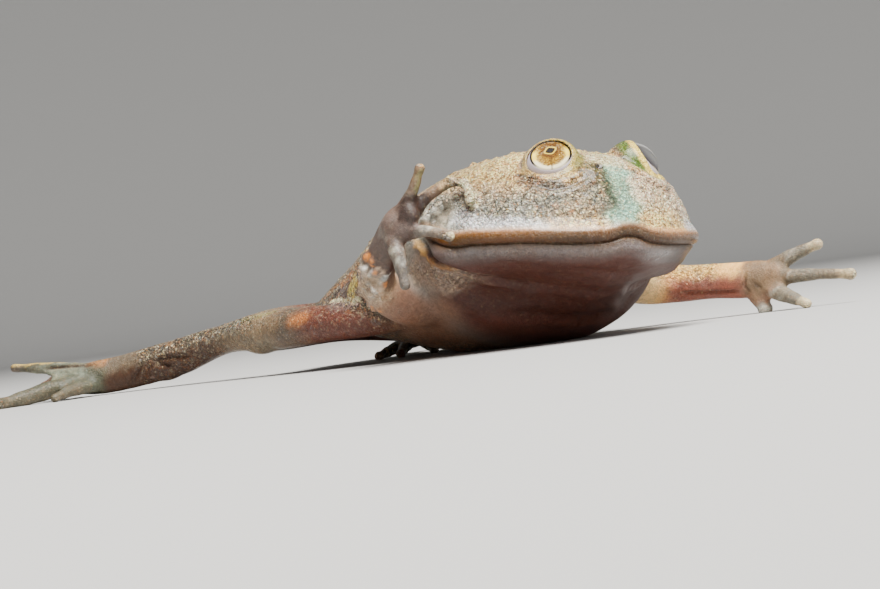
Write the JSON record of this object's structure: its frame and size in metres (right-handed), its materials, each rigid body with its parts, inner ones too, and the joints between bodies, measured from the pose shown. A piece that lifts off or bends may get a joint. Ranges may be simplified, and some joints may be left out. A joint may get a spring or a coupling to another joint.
{
  "type": "budgett's frog model",
  "caption": "Still, life-size model of an aquatic horned-frog relative crawling, with a very wide mouth, upturned eyes and webbed hind feet",
  "frame": {"origin": "on the floor, at the middle of the flat where the belly rests, 42 mm behind the tip of the snout", "axes": "snout towards -Y, the frog's left side +X, up +Z"},
  "size_m": [0.1239, 0.1348, 0.0348],
  "materials": {
    "skin_head": "wet granular skin, beige pink with a pale mint patch on the snout and an orange-brown upper lip",
    "skin_throat": "wet smooth skin, lilac grey lip over brownish pink throat",
    "skin_body": "wet granular skin, beige grey above and brownish pink below",
    "skin_limbs": "wet skin, pink below and grey with yellow granules above",
    "skin_paws": "wet, slightly translucent pale skin",
    "eye": "glassy, gold iris with a cream rim and a small black pupil",
    "cornea": "clear and glossy"
  },
  "bodies": {
    "root": {"head": "skin_head", "lower_jaw": "skin_throat", "torso": "skin_body", "left_eye": "eye", "right_eye": "eye", "left_upper_arm": "skin_limbs", "left_forearm": "skin_limbs", "left_hand": "skin_paws", "right_upper_arm": "skin_limbs", "right_forearm": "skin_limbs", "right_hand": "skin_paws", "left_thigh": "skin_limbs", "left_shank": "skin_limbs", "left_tarsus": "skin_limbs", "left_foot": "skin_paws", "right_thigh": "skin_limbs", "right_shank": "skin_limbs", "right_tarsus": "skin_limbs", "right_foot": "skin_paws"}
  },
  "joints": []
}
